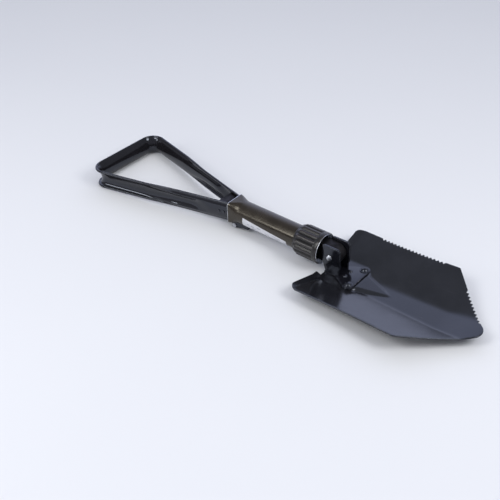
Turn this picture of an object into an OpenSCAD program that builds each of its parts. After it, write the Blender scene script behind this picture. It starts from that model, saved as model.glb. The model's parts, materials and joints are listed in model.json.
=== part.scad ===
// Three-fold camp shovel: channel grip, round shaft, screw collar, hinged blade.
// The parts are laid out along the shaft's axis: x runs from the grip to the blade's tip, z is up
// from the axis and y is across. The whole is then tipped so that the grip and the blade's belly
// both lie on the ground.

/* [Overall] */
// Length from the grip to the blade's tip
total_l = 590; // [580:1:600]

/* [Grip] */
// Length of the grip, from its outer edge to the shaft's mouth
grip_l = 221; // [215:1:225]
// Width across the grip's outer rims
grip_w = 126; // [118:1:132]
// Height of the pressed channel
channel_h = 28.4; // [27:0.2:28.6]
// Depth of the channel at the grip
channel_d = 9.5; // [8.5:0.1:10.5]
// Depth of the channel where the legs meet the neck
neck_d = 7; // [6.5:0.1:7.5]
// Width across both legs at the neck
neck_w = 31; // [30:0.5:32]
// Outer radius of the grip's two corners
corner_r = 20; // [17:1:23]
// Thickness of the grip's sheet
channel_t = 1.8; // [1.5:0.1:2]

/* [Shaft] */
// Outer radius of the tube
tube_r = 15.9; // [15.7:0.1:16]
// Wall of the tube
tube_wall = 1.5; // [1.2:0.1:1.6]
// Free length of tube between its mouth and the collar
free_l = 110.5; // [108:0.5:114]
// Width and height of the square mouth
mouth_w = 32; // [31:0.2:32.4]
// Length over which the square mouth runs out into the round tube
mouth_l = 18; // [14:1:24]

/* [Collar] */
// Length of the collar
collar_l = 39.5; // [38:0.5:41]
// Outer radius over the collar's ribs
collar_r = 21; // [20.8:0.1:21.2]
// Number of ribs
ribs = 16; // [12:1:20]
// How far the collar screws back
collar_travel = 10; // [8:0.5:11]
// Pitch of the collar's thread
thread_pitch = 5; // [4:0.5:5]

/* [Blade hinge] */
// Radius of the blade's hinge pin
blade_pin_r = 3; // [2.5:0.1:3.5]
// Gap from the collar's end to the hinge pin's axis
pin_gap = 14.5; // [14.5:0.1:15]
// Height of the ears above the pin
ear_up = 16.5; // [15:0.5:16.5]
// Length of the ears in front of the pin
ear_front = 15.5; // [14:0.5:15.5]
// Length of the ears behind the pin
ear_back = 10.5; // [9:0.5:11]
// Width over both ears
ear_span = 24.2; // [23.6:0.1:24.4]
// Thickness of the ears
ear_t = 3; // [2.8:0.1:3.2]
// Distance from the pin's axis down to the blade's upper face
blade_drop = 25.2; // [25:0.1:27]

/* [Blade] */
// Angle by which the blade rises towards its tip, from the shaft's axis
blade_pitch = 1.6; // [1:0.1:2]
// Width at the step, where the foot goes
blade_w = 154; // [150:1:165]
// Width at the shoulders
shoulder_w = 155; // [150:1:165]
// How far the sides draw in halfway along
waist = 1.6; // [0:0.2:3]
// Distance from the pin to the shoulders
shoulder_x = 133; // [125:1:140]
// Thickness of the blade
blade_t = 1.8; // [1.6:0.1:2]
// Rise of the blade's sides above the bracket's seat
side_rise = 15; // [10:0.5:16]
// Depth of the middle band below the bracket's seat
belly = 4.5; // [3.5:0.5:5]
// Rise of the turned-up step
step_rise = 4; // [3:0.5:6]
// Pitch of the saw teeth
tooth_pitch = 5.1; // [4.5:0.1:6]
// Depth of the saw teeth
tooth_depth = 2.2; // [1.5:0.1:2.6]

/* [Hidden] */

// Colours
black_paint = [0.05, 0.05, 0.07];
brown_black = [0.10, 0.09, 0.08];
bright_steel = [0.75, 0.76, 0.78];
dark_steel = [0.25, 0.25, 0.26];
label_white = [0.92, 0.92, 0.92];

// Places along the shaft
lip_x = grip_l + 0.5;
collar_x = lip_x + free_l;
collar_end = collar_x + collar_l;
pin_x = collar_end + pin_gap;
tube_end = collar_x + 16;
far = 60;

// Grip outline: the corner's centre, and the angle at which each leg runs in to the neck
corner_x = corner_r;
corner_y = grip_w / 2 - corner_r;
leg_run = [grip_l - corner_x, corner_y - neck_w / 2];
leg_angle = atan2(leg_run.y, leg_run.x) + asin(corner_r / norm(leg_run));
leg_start = [corner_x + corner_r * sin(leg_angle), corner_y + corner_r * cos(leg_angle)];

// Grip section: its rolled rims, the height of its deepest part, and where along the legs it
// turns from opening outwards to opening inwards
rim_r = 1.7;
low_z = -3;
slant = 1.35;
neck_lip = 3.5;
turn_start = 88;
turn_end = 148;

// Handle hinge
handle_pin_r = 2;
handle_pin_x = lip_x + 8;
handle_pin_z = -tube_r - 2.2;
knuckle_r = 4;
cheek_r = 3.6;
tongue_w = 15.4;
slot_l = 24;
cheek_in = tongue_w / 2 + 0.7;
slot_w = 2 * cheek_in + 0.4;
cheek_t = 2.4;
neck_x = 202;

// Collar's inner parts
thread_r = 16.3;
nut_bore = thread_r + 0.3;
nut_r = 18.2;
ring_r = 20.2;
ring_in = 19.3;
ring_face = 1.3;
ring_depth = 6.6;

// Blade hinge
head_tongue_w = 15.8;
head_tongue_r = 12.5;
plug_r = tube_r - tube_wall;
head_pin_r = 2;
// The foot of each ear is cut back, to pass the collar's rim when the blade is folded over
ear_foot = 13.7;
plate_t = 2.2;
plate_end = 39.5;
rivet_x = 33;
rivet_y = 18.5;
small_x = 18.5;
small_y = 6;

// Blade outline, measured from the pin
step_x = -14;
notch_x = -7.5;
notch_y = 19;
tip_x = (total_l - pin_x - blade_drop * sin(blade_pitch)) / cos(blade_pitch);
tip_r = 15;
step_w = 9;
belly_start = 36;
belly_full = 52;
belly_rise = 150;
seat_w = 26.5;
seat_end = 62;
band_start = 12;
band_end = 21;
sheet_w = blade_w / 2 + 4;

// How the shovel lies: the grip's lower rim and the fullest part of the belly touch the ground
belly_under = blade_drop + belly + blade_t;
belly_at = [pin_x + belly_full * cos(blade_pitch) + belly_under * sin(blade_pitch),
            belly_full * sin(blade_pitch) - belly_under * cos(blade_pitch)];
lie_angle = atan2(-belly_at.y - channel_h / 2, belly_at.x);
rest_z = channel_h / 2 * cos(lie_angle);
tip_z = tip_x * sin(blade_pitch) - blade_drop * cos(blade_pitch);
back_x = -channel_h / 2 * sin(lie_angle);
front_x = total_l * cos(lie_angle) - tip_z * sin(lie_angle);
mid_x = (back_x + front_x) / 2;

$fn = 96;

// ---------------------------------------------------------------- helpers

// Tips the laid-out parts into the resting pose, with the origin below the middle of the whole
module lying() {
    translate([-mid_x, 0, rest_z]) rotate([0, -lie_angle, 0]) children();
}

// Places children in the blade's own frame: origin at the pin, x towards the tip
module on_blade() {
    translate([pin_x, 0, 0]) rotate([0, -blade_pitch, 0]) children();
}

// A cylinder along y, centred
module across(r, l) {
    rotate([90, 0, 0]) cylinder(r = r, h = l, center = true);
}

// A profile drawn in x and z, extruded across by w
module slab_xz(w) {
    rotate([90, 0, 0]) linear_extrude(w, center = true) children();
}

// A ring along the shaft's axis from x0 to x1
module ring_x(x0, x1, inner, outer) {
    translate([x0, 0, 0]) rotate([0, 90, 0]) difference() {
        cylinder(r = outer, h = x1 - x0);
        translate([0, 0, -1]) cylinder(r = inner, h = x1 - x0 + 2);
    }
}

module rod_x(x0, x1, r) {
    translate([x0, 0, 0]) rotate([0, 90, 0]) cylinder(r = r, h = x1 - x0);
}

module mirrored_y() {
    children();
    mirror([0, 1, 0]) children();
}

function unit(v) = v / norm(v);

// Points of an arc of radius r that rounds the corner b between a and c
function rounded(a, b, c, r, n = 6) =
    let (u = unit(a - b), v = unit(c - b), half = acos(u * v) / 2,
         centre = b + unit(u + v) * r / sin(half),
         from = b + u * r / tan(half) - centre,
         turn = sign(u.y * v.x - u.x * v.y),
         start = atan2(from.y, from.x))
    [for (i = [0:n]) centre + r * [cos(start + turn * (180 - 2 * half) * i / n),
                                   sin(start + turn * (180 - 2 * half) * i / n)]];

// Every corner of a closed outline rounded: pts is a list of [x, y, radius]
function round_all(pts) =
    let (n = len(pts))
    [for (i = [0:n - 1])
        let (a = pts[(i + n - 1) % n], b = pts[i], c = pts[(i + 1) % n])
        each b[2] == 0 ? [[b.x, b.y]] : rounded([a.x, a.y], [b.x, b.y], [c.x, c.y], b[2])];

// Saw teeth along the line from a to b, cut to its left side
function teeth(a, b) =
    let (count = round(norm(b - a) / tooth_pitch), d = unit(b - a), inward = [-d.y, d.x])
    [for (i = [0:count - 1])
        each [a + (b - a) * i / count,
              a + (b - a) * (i + 0.5) / count + inward * tooth_depth]];

// A closed solid through rings that have the same number of points
module sweep(rings) {
    n = len(rings[0]);
    m = len(rings);
    sides = [for (i = [0:m - 2], j = [0:n - 1])
        let (a = i * n + j, b = i * n + (j + 1) % n, c = a + n, d = b + n)
        each [[a, b, d], [a, d, c]]];
    caps = [[for (j = [n - 1:-1:0]) j], [for (j = [0:n - 1]) (m - 1) * n + j]];
    polyhedron(points = [for (r = rings) each r], faces = concat(sides, caps), convexity = 8);
}

// A dome-headed rivet along z: its head stands on z = 0 and its shank runs down to -l
module rivet(head_r, head_h, shank_r, l, tail_h) {
    ball_r = (head_r * head_r + head_h * head_h) / (2 * head_h);
    intersection() {
        translate([0, 0, head_h - ball_r]) sphere(r = ball_r);
        cylinder(r = head_r, h = head_h);
    }
    translate([0, 0, -l]) cylinder(r = shank_r, h = l + 0.1);
    translate([0, 0, -l - tail_h]) cylinder(r = shank_r * 1.5, h = tail_h);
}

// ---------------------------------------------------------------- handle

// The section is a curved sheet with a thicker rolled rim at each end. Round the grip it opens
// outwards, and near the neck it opens inwards, towards the neck hinge. Its middle line is given
// as [depth inwards from the outer rim, height]: d is its depth, k runs from 0 at the grip to 1
// at the neck, and s from 0 at the upper rim to 1 at the lower one.
function outward_line(d, s) =
    let (h = channel_h / 2 - rim_r, full = d - channel_t / 2, a = 90 * (1 - s / 0.6),
         b = 80 * (s - 0.6) / 0.4, low = (full - 3) / (1 - cos(80)))
    s < 0.6 ? [rim_r + (full - rim_r) * pow(cos(a), slant),
               low_z + (h - low_z) * pow(sin(a), slant)]
            : [full - low * (1 - cos(b)), low_z - (h + low_z) * sin(b) / sin(80)];

function inward_line(d, s) =
    let (h = channel_h / 2 - rim_r, a = 60 * (1 - 2 * s))
    [channel_t / 2 + neck_lip * (1 - cos(a)) / (1 - cos(60)), h * sin(a) / sin(60)];

function channel_line(k, d, s) = outward_line(d, s) * (1 - k) + inward_line(d, s) * k;

function channel_section(k, d) =
    let (n = 10,
         line = [for (i = [0:n]) channel_line(k, d, i / n)],
         thick = [for (i = [0:n]) i == 0 || i == n ? rim_r : channel_t / 2],
         dir = [for (i = [0:n]) unit(line[min(n, i + 1)] - line[max(0, i - 1)])],
         side = [for (v = dir) [-v.y, v.x]])
    concat([for (i = [0:n]) line[i] + side[i] * thick[i]],
           [for (a = [-30:-30:-150]) let (v = dir[n], c = cos(a + 90), q = sin(a + 90))
               line[n] + rim_r * [v.x * c - v.y * q, v.x * q + v.y * c]],
           [for (i = [n:-1:0]) line[i] - side[i] * thick[i]],
           [for (a = [-30:-30:-150]) let (v = -dir[0], c = cos(a + 90), q = sin(a + 90))
               line[0] + rim_r * [v.x * c - v.y * q, v.x * q + v.y * c]]);

// One ring of the channel at outer-rim point p, with outward direction at angle a
function channel_ring(p, a, k, d) =
    [for (q = channel_section(k, d)) [p.x - q[0] * cos(a), p.y - q[0] * sin(a), q[1]]];

// Rings from the neck along the far leg, round its corner and to the middle of the grip bar
function half_frame() =
    let (neck = [grip_l, neck_w / 2], out = 90 - leg_angle, steps = 9, turns = 7)
    concat(
        [for (i = [0:steps - 1]) let (k = i / steps, p = neck + (leg_start - neck) * k)
            channel_ring(p, out, 1 - ramp(grip_l - p.x, grip_l - turn_end, grip_l - turn_start),
                         neck_d + (channel_d - neck_d) * k)],
        [for (i = [0:turns]) let (a = out + (180 - out) * i / turns)
            channel_ring([corner_x + corner_r * cos(a), corner_y + corner_r * sin(a)],
                         a, 0, channel_d)],
        [channel_ring([0, 0], 180, 0, channel_d)]);

function flipped(ring) = [for (q = ring) [q.x, -q.y, q.z]];

module handle_frame() {
    far_half = half_frame();
    n = len(far_half);
    color(black_paint) lying()
        sweep(concat([for (i = [0:n - 1]) far_half[i]],
                     [for (i = [n - 2:-1:0]) flipped(far_half[i])]));
}

// How far out the legs' webs are at x: their inner faces, or with d = 0 their outer ones
function leg_web(x, d = channel_t + 0.1) =
    neck_w / 2 + (grip_l - x) * tan(leg_angle) - d / cos(leg_angle);

module neck_hinge() {
    wide = leg_web(neck_x);
    narrow = leg_web(grip_l);
    color(black_paint) lying() difference() {
        union() {
            translate([0, 0, -10])
                linear_extrude(20)
                    polygon([[neck_x, -wide], [grip_l - 0.3, -narrow],
                             [grip_l - 0.3, narrow], [neck_x, wide]]);
            slab_xz(tongue_w)
                polygon(concat(
                    [[neck_x + 2, -9], [neck_x + 6, -15]],
                    [for (a = [-110:20:70]) [handle_pin_x + knuckle_r * cos(a),
                                             handle_pin_z + knuckle_r * sin(a)]],
                    [[handle_pin_x - 3, handle_pin_z + 4.3], [grip_l - 1, -9]]));
        }
        translate([handle_pin_x, 0, handle_pin_z]) across(handle_pin_r + 0.06, far);
    }
}

module neck_rivets() {
    color(black_paint) lying()
        for (x = [neck_x + 6, neck_x + 13])
            translate([x, 0, 0]) mirrored_y() {
                face = leg_web(x, 0);
                translate([0, face - 5, 0]) rotate([-90, 0, 0]) cylinder(r = 1.8, h = 5);
                translate([0, face - 0.8, 0]) rotate([-90, 0, 0]) cylinder(r = 2.8, h = 1.1);
            }
}

module handle_pin() {
    long = 2 * (cheek_in + cheek_t) + 0.2;
    color(bright_steel) lying() translate([handle_pin_x, 0, handle_pin_z]) {
        across(handle_pin_r, long);
        mirrored_y() translate([0, long / 2 + 0.6, 0]) across(3.1, 1.2);
    }
}

module handle_pin_washers() {
    color(dark_steel) lying() translate([handle_pin_x, 0, handle_pin_z])
        mirrored_y() translate([0, cheek_in - 0.25, 0]) difference() {
            across(3.4, 0.5);
            across(handle_pin_r, 2);
        }
}

// ---------------------------------------------------------------- shaft

// A slice of the square mouth
module mouth_slice(half, r) {
    linear_extrude(0.01)
        polygon(round_all([[-half, -half, r], [half, -half, r], [half, half, r], [-half, half, r]]));
}

// The mouth's square end running out into a round of radius r
module mouth_form(half, corner, r) {
    rotate([90, 0, 90]) hull() {
        mouth_slice(half, corner);
        translate([0, 0, 3]) mouth_slice(half - 0.5, corner);
        translate([0, 0, mouth_l]) cylinder(r = r, h = 0.01, $fn = 48);
    }
}

module shaft_tube() {
    half = mouth_w / 2;
    color(brown_black) lying() difference() {
        union() {
            translate([lip_x, 0, 0]) mouth_form(half, 4.5, tube_r);
            rod_x(lip_x + mouth_l - 0.5, tube_end, tube_r);
        }
        translate([lip_x - 0.01, 0, 0]) mouth_form(half - tube_wall, 3, plug_r);
        rod_x(lip_x + mouth_l - 0.6, tube_end + 1, plug_r);
        translate([lip_x - 1, -slot_w / 2, -far]) cube([slot_l + 1, slot_w, far]);
    }
}

module hinge_saddle() {
    strap_x = lip_x + slot_l + 0.5;
    strap_l = 7;
    color(brown_black) lying() difference() {
        union() {
            mirrored_y() translate([0, cheek_in + cheek_t / 2, 0]) slab_xz(cheek_t)
                polygon(concat(
                    [[handle_pin_x - cheek_r, -11], [handle_pin_x - cheek_r, handle_pin_z]],
                    [for (a = [200:20:300]) [handle_pin_x + cheek_r * cos(a),
                                             handle_pin_z + cheek_r * sin(a)]],
                    [[strap_x, -17], [strap_x + strap_l, -17], [strap_x + strap_l, -11]]));
            translate([strap_x, -cheek_in - cheek_t, -17])
                cube([strap_l, 2 * (cheek_in + cheek_t), 5.4]);
        }
        rod_x(lip_x - 5, collar_x, tube_r + 0.02);
        translate([handle_pin_x, 0, handle_pin_z]) across(handle_pin_r, far);
    }
}

module hinge_head() {
    thread_end = collar_end - 8;
    turns = round(collar_travel / thread_pitch) + 1;
    core = thread_r - 1;
    ridge = 2.4;
    color(dark_steel) lying() difference() {
        union() {
            rod_x(collar_x - 12, thread_end, plug_r);
            rod_x(tube_end, thread_end, core);
            for (i = [0:turns - 1])
                translate([thread_end - 1.6 - ridge - i * thread_pitch, 0, 0]) rotate([0, 90, 0])
                    rotate_extrude()
                        polygon([[core - 0.5, 0], [thread_r, ridge / 2 - 0.3],
                                 [thread_r, ridge / 2 + 0.3], [core - 0.5, ridge]]);
            slab_xz(head_tongue_w) {
                translate([pin_x, 0]) circle(r = head_tongue_r);
                translate([thread_end - 1, -head_tongue_r])
                    square([pin_x - thread_end + 1, 2 * head_tongue_r]);
            }
        }
        translate([pin_x, 0, 0]) across(blade_pin_r + 0.05, far);
        for (x = head_pin_x())
            translate([x, 0, 0]) cylinder(r = head_pin_r, h = far, center = true);
    }
}

function head_pin_x() = [collar_x + 2, collar_x + 10];

module head_pins() {
    color(dark_steel) lying()
        for (x = head_pin_x())
            translate([x, 0, 0]) intersection() {
                cylinder(r = head_pin_r, h = 2 * tube_r + 2, center = true);
                rod_x(-5, 5, tube_r + 0.1);
            }
}

// A strip wrapped round the tube's side, from and to being angles from +y towards +z
module paper_label() {
    from = 160;
    to = 222;
    x0 = lip_x + 24;
    long = free_l - 33;
    thick = 0.15;
    color(label_white) lying() translate([x0, 0, 0]) rotate([0, 90, 0]) rotate([0, 0, 90 + from])
        rotate_extrude(angle = to - from)
            translate([tube_r, 0]) square([thick, long]);
}

// ---------------------------------------------------------------- collar

module thrust_ring() {
    floor_x = collar_end - ring_depth - ring_face;
    color(bright_steel) lying() {
        ring_x(floor_x, floor_x + ring_face, nut_bore, ring_r);
        ring_x(floor_x + ring_face - 0.1, collar_end, ring_in, ring_r);
    }
}

module locking_collar() {
    shell_r = collar_r - 0.9;
    plain = 6;
    color(brown_black) lying() difference() {
        union() {
            rod_x(collar_x + 1.5, collar_end - 0.7, shell_r);
            rod_x(collar_end - plain, collar_end - 0.7, collar_r);
            translate([collar_x, 0, 0]) rotate([0, 90, 0])
                cylinder(r1 = shell_r - 1.5, r2 = shell_r, h = 1.5);
            for (i = [0:ribs - 1]) rotate([i * 360 / ribs, 0, 0])
                translate([collar_x + 1.5, 0, shell_r - 1.1]) rotate([0, 90, 0])
                    cylinder(r = 2, h = collar_l - plain - 1, $fn = 24);
        }
        rod_x(collar_x - 1, collar_end, nut_bore);
        rod_x(collar_x + 6, collar_end, nut_r);
        rod_x(collar_end - ring_depth - ring_face - 0.1, collar_end, ring_r + 0.05);
    }
}

module collar_nut() {
    color(dark_steel) lying()
        ring_x(collar_x + 6, collar_end - ring_depth - ring_face - 0.2, nut_bore, nut_r);
}

// ---------------------------------------------------------------- blade

function ramp(x, a, b) = let (k = min(1, max(0, (x - a) / (b - a)))) k * k * (3 - 2 * k);

// Half width of the flat middle band at x: a wide seat for the bracket, then a narrow valley
function band(x) =
    band_start + (band_end - band_start) * max(0, x) / tip_x
    + (seat_w - band_start) * (1 - ramp(x, belly_start, seat_end));

// Height of the blade's upper face at x along it and y across it
function blade_z(x, y) =
    let (out = max(0, abs(y) - band(x)) / (blade_w / 2 - band(x)),
         dip = belly * (ramp(x, belly_start, belly_full) - ramp(x, belly_rise, tip_x)),
         lift = step_rise * pow(max(0, step_x + step_w - x) / step_w, 1.5))
    -blade_drop + out * (side_rise + dip) - dip + lift;

// A point of the blade's side, a share k of the way from the step to the shoulder; side is 1 or -1
function side_point(k, side) =
    [step_x + (shoulder_x - step_x) * k,
     side * ((blade_w * (1 - k) + shoulder_w * k) / 2 - 4 * waist * k * (1 - k))];

// Saw teeth along the far side, from the share k0 to the share k1
function side_teeth(k0, k1) =
    let (count = round(abs(k1 - k0) * (shoulder_x - step_x) / tooth_pitch), k_step = (k1 - k0) / count)
    [for (i = [0:count - 1])
        each [side_point(k0 + i * k_step, 1),
              side_point(k0 + (i + 0.5) * k_step, 1) - [0, tooth_depth]]];

// Outline of the blade from above, anticlockwise from the near side of the notch
function blade_outline() =
    let (step = blade_w / 2, wide = shoulder_w / 2,
         half = atan2(wide, tip_x - shoulder_x + 0.4 * tip_r),
         tip = [tip_x + tip_r * (1 / sin(half) - 1), 0],
         near_shoulder = [shoulder_x, -wide], far_shoulder = [shoulder_x, wide],
         point = tip - far_shoulder,
         saw_c = far_shoulder + point * 0.31, saw_d = far_shoulder + point * 0.8)
    concat(
        rounded([notch_x, -notch_y], [step_x, -notch_y], [step_x, -step], 2),
        rounded([step_x, -notch_y], [step_x, -step], side_point(0.25, -1), 11),
        [for (k = [0.25, 0.5, 0.75]) side_point(k, -1)],
        rounded(side_point(0.75, -1), near_shoulder, tip, 8),
        rounded(near_shoulder, tip, far_shoulder, tip_r),
        teeth(saw_d, saw_c),
        rounded(tip, far_shoulder, side_point(0.87, 1), 4),
        side_teeth(0.87, 0.25),
        rounded(side_point(0.25, 1), [step_x, step], [step_x, notch_y], 11),
        rounded([step_x, step], [step_x, notch_y], [notch_x, notch_y], 2),
        [[notch_x, notch_y], [notch_x, -notch_y]]);

function reverse(v) = [for (i = [len(v) - 1:-1:0]) v[i]];

// The formed sheet before trimming, from a grid of its upper face
module formed_sheet() {
    along = [step_x - 2, step_x + 3, step_x + 6, step_x + step_w, belly_start, 44, belly_full,
             seat_end, 90, shoulder_x, belly_rise + 15, belly_rise + 30, tip_x - 10, tip_x + 2];
    rings = [for (x = along)
        let (b = band(x), ys = [-sheet_w, -(sheet_w + b) / 2, -b, 0, b, (sheet_w + b) / 2, sheet_w])
        concat([for (y = ys) [x, y, blade_z(x, y)]],
               [for (y = reverse(ys)) [x, y, blade_z(x, y) - blade_t]])];
    sweep(rings);
}

module blade_plate() {
    color(black_paint) lying() on_blade() intersection() {
        formed_sheet();
        translate([0, 0, -blade_drop - 15]) linear_extrude(60) polygon(blade_outline());
    }
}

module bracket_base(r) {
    translate([notch_x, -ear_span / 2]) square([small_x - notch_x, ear_span]);
    mirrored_y() translate([rivet_x, rivet_y]) circle(r = r);
    polygon([[10, -ear_span / 2], [rivet_x - 4, -rivet_y - r + 1], [plate_end, -rivet_y + 4],
             [plate_end, rivet_y - 4], [rivet_x - 4, rivet_y + r - 1], [10, ear_span / 2]]);
}

module blade_bracket() {
    low = -blade_drop + plate_t - 0.5;
    color(black_paint) lying() on_blade() difference() {
        union() {
            translate([0, 0, -blade_drop]) linear_extrude(plate_t) bracket_base(7.4);
            mirrored_y() translate([0, (ear_span - ear_t) / 2, 0]) slab_xz(ear_t)
                polygon(round_all([[notch_x + 2.3, low, 0], [ear_foot, low, 0],
                                   [ear_foot, -14.8, 0], [ear_front, -13, 0],
                                   [ear_front, ear_up, 5.5], [-ear_back, ear_up, 3],
                                   [-ear_back, -8, 4]]));
        }
        across(blade_pin_r, far);
    }
}

module main_rivets() {
    color(black_paint) lying() on_blade() mirrored_y()
        translate([rivet_x, rivet_y, -blade_drop + plate_t + 0.8])
            rivet(4.6, 2.6, 2.6, plate_t + 0.8 + blade_t + 1.2, 0.8);
}

module rivet_washers() {
    color(black_paint) lying() on_blade() mirrored_y()
        translate([rivet_x, rivet_y, -blade_drop + plate_t]) difference() {
            cylinder(r = 6.3, h = 0.8);
            translate([0, 0, -1]) cylinder(r = 2.6, h = 4);
        }
}

module small_rivets() {
    color(black_paint) lying() on_blade() mirrored_y()
        translate([small_x + 1.5, small_y, -blade_drop + plate_t])
            rivet(3, 1.7, 1.7, plate_t + blade_t + 1.2, 0.8);
}

module backing_plate() {
    color(black_paint) lying() on_blade()
        translate([0, 0, -blade_drop - blade_t - 1.2]) linear_extrude(1.2)
            polygon(round_all([[9, -10, 2], [26, -24, 5], [34, -24, 5], [34, 24, 5],
                               [26, 24, 5], [9, 10, 2]]));
}

// Rim of a low domed head at one end of the pin, from its edge to its crown and back to the shank
function pin_head(end, head) =
    let (face = ear_span / 2,
         curve = [[2.2, face + head], [3.6, face + head * 0.75], [4.2, face + head * 0.3],
                  [4.2, face], [blade_pin_r, face]],
         points = [for (p = curve) [p.x, end * p.y]])
    end < 0 ? points : reverse(points);

module blade_pin() {
    head = 1.9;
    color(bright_steel) lying() translate([pin_x, 0, 0]) rotate([90, 0, 0]) rotate_extrude()
        polygon(concat([[0, -ear_span / 2 - head]], pin_head(-1, head),
                       pin_head(1, head), [[0, ear_span / 2 + head]]));
}

module blade_pin_washers() {
    room = ear_span / 2 - ear_t - head_tongue_w / 2;
    thick = room - 0.1;
    color(dark_steel) lying() translate([pin_x, 0, 0])
        mirrored_y() translate([0, ear_span / 2 - ear_t - thick / 2, 0]) difference() {
            across(9, thick);
            across(blade_pin_r, far);
        }
}

handle_frame();
neck_hinge();
neck_rivets();
handle_pin();
handle_pin_washers();
shaft_tube();
hinge_saddle();
hinge_head();
head_pins();
paper_label();
thrust_ring();
locking_collar();
collar_nut();
blade_plate();
blade_bracket();
main_rivets();
rivet_washers();
small_rivets();
backing_plate();
blade_pin();
blade_pin_washers();
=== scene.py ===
"""Folding camp shovel: the look of the part, built round its CAD frame."""
import json
import math

import bmesh
import bpy
import numpy as np
from mathutils import Matrix, Vector
from mathutils.geometry import delaunay_2d_cdt


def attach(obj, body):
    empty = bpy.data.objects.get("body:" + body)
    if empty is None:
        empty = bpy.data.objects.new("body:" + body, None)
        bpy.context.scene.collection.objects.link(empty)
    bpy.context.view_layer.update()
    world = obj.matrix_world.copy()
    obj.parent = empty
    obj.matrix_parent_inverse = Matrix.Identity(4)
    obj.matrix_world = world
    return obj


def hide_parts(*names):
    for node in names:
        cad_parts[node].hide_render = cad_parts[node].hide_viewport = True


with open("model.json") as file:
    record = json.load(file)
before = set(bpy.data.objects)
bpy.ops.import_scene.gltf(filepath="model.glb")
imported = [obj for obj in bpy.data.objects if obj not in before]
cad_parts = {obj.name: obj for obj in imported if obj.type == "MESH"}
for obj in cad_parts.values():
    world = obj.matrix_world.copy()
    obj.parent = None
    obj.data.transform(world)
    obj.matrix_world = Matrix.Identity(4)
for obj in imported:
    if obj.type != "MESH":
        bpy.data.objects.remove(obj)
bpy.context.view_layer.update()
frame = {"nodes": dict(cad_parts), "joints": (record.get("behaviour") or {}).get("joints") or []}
scene = bpy.context.scene
joints = {j["name"]: j for j in frame["joints"]}

# ------------------------------------------------------------------ places, in millimetres
# x runs along the shaft from the grip's outer edge, y across, z up from the shaft's axis.
# the grip: its outline, its channel's section, and where along the legs the section turns over
GRIP_L, GRIP_W = 221.0, 126.0
CHANNEL_H, CHANNEL_D, NECK_D, NECK_W = 28.4, 9.5, 7.0, 31.0
CORNER_R, CHANNEL_T = 20.0, 1.8
RIM_R, LOW_Z, SLANT, NECK_LIP, TURN_START, TURN_END = 1.7, -3.0, 1.35, 3.5, 88.0, 148.0
HOLLOW, HOLLOW_HALF, HOLLOW_FROM, HOLLOW_TO = 4.6, 8.5, 165.0, 196.0
# the tube and its square mouth, the collar, and the places along the shaft
TUBE_R, TUBE_WALL, FREE_L = 15.9, 1.5, 110.5
MOUTH_W, MOUTH_L = 32.0, 18.0
COLLAR_L, COLLAR_R, RIBS = 39.5, 21.0, 16
PIN_GAP = 14.5
LIP_X = GRIP_L + 0.5
COLLAR_X = LIP_X + FREE_L
COLLAR_END = COLLAR_X + COLLAR_L
PIN_X = COLLAR_END + PIN_GAP
TUBE_END = COLLAR_X + 16
# the blade: its tilt in degrees, its place under the pin, its outline and its pressed shape
BLADE_PITCH = 1.6
BLADE_DROP, BLADE_T = 25.2, 1.8
BLADE_W, SHOULDER_W, WAIST, SHOULDER_X = 154.0, 155.0, 1.6, 133.0
STEP_X, STEP_W, STEP_RISE = -14.0, 9.0, 4.0
NOTCH_X, NOTCH_Y = -7.5, 19.0
TIP_X, TIP_R = 203.376, 15.0
CORNER_STEP_R, CORNER_NOTCH_R, CORNER_NEAR_R, CORNER_FAR_R = 11, 2, 8, 4
SIDE_RISE, BELLY, BAND_START, BAND_GROWTH = 15.0, 4.5, 12, 9
# saw teeth: their size, and where they run along the far side and the far point edge, as shares
TOOTH_PITCH, TOOTH_DEPTH = 5.1, 2.5
SIDE_SAW_FROM, SIDE_SAW_TO = 0.25, 0.87
POINT_SAW_FROM, POINT_SAW_TO = 0.31, 0.80
# the bracket: its two ears, its base plate and its rivets
EAR_SPAN, EAR_T, EAR_UP, EAR_FRONT, EAR_BACK, EAR_FOOT = 24.2, 3.0, 16.5, 15.5, 10.5, 13.7
PLATE_T, PLATE_END, LOBE_R = 2.2, 39.5, 7.4
RIVET_X, RIVET_Y, SMALL_X, SMALL_Y = 33.0, 18.5, 20.0, 6.0
WASHER_T, BACKING_T, PIN_HEAD = 0.8, 1.2, 1.9
# the label: where it starts and ends on the tube, and its upper edge's angle at both ends
LABEL_FROM, LABEL_TO = LIP_X + 27, LIP_X + FREE_L - 11
LABEL_TOP, LABEL_TOP_END, LABEL_SPAN = 166, 189, 52

pin_at = Vector(joints["blade_fold"]["pos_m"])
back = joints["collar_travel"]["axis"]
lie = math.atan2(-back[2], -back[0])
MM = Matrix.Scale(0.001, 4)
SHAFT = (Matrix.Translation(pin_at) @ Matrix.Rotation(-lie, 4, "Y") @ MM
         @ Matrix.Translation((-PIN_X, 0, 0)))
BLADE = (Matrix.Translation(pin_at) @ Matrix.Rotation(-lie - math.radians(BLADE_PITCH), 4, "Y")
         @ MM)


def clamp01(v):
    return min(1.0, max(0.0, v))


def smooth(x, a, b):
    k = clamp01((x - a) / (b - a))
    return k * k * (3 - 2 * k)


def lerp(a, b, k):
    return a + (b - a) * k


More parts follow.
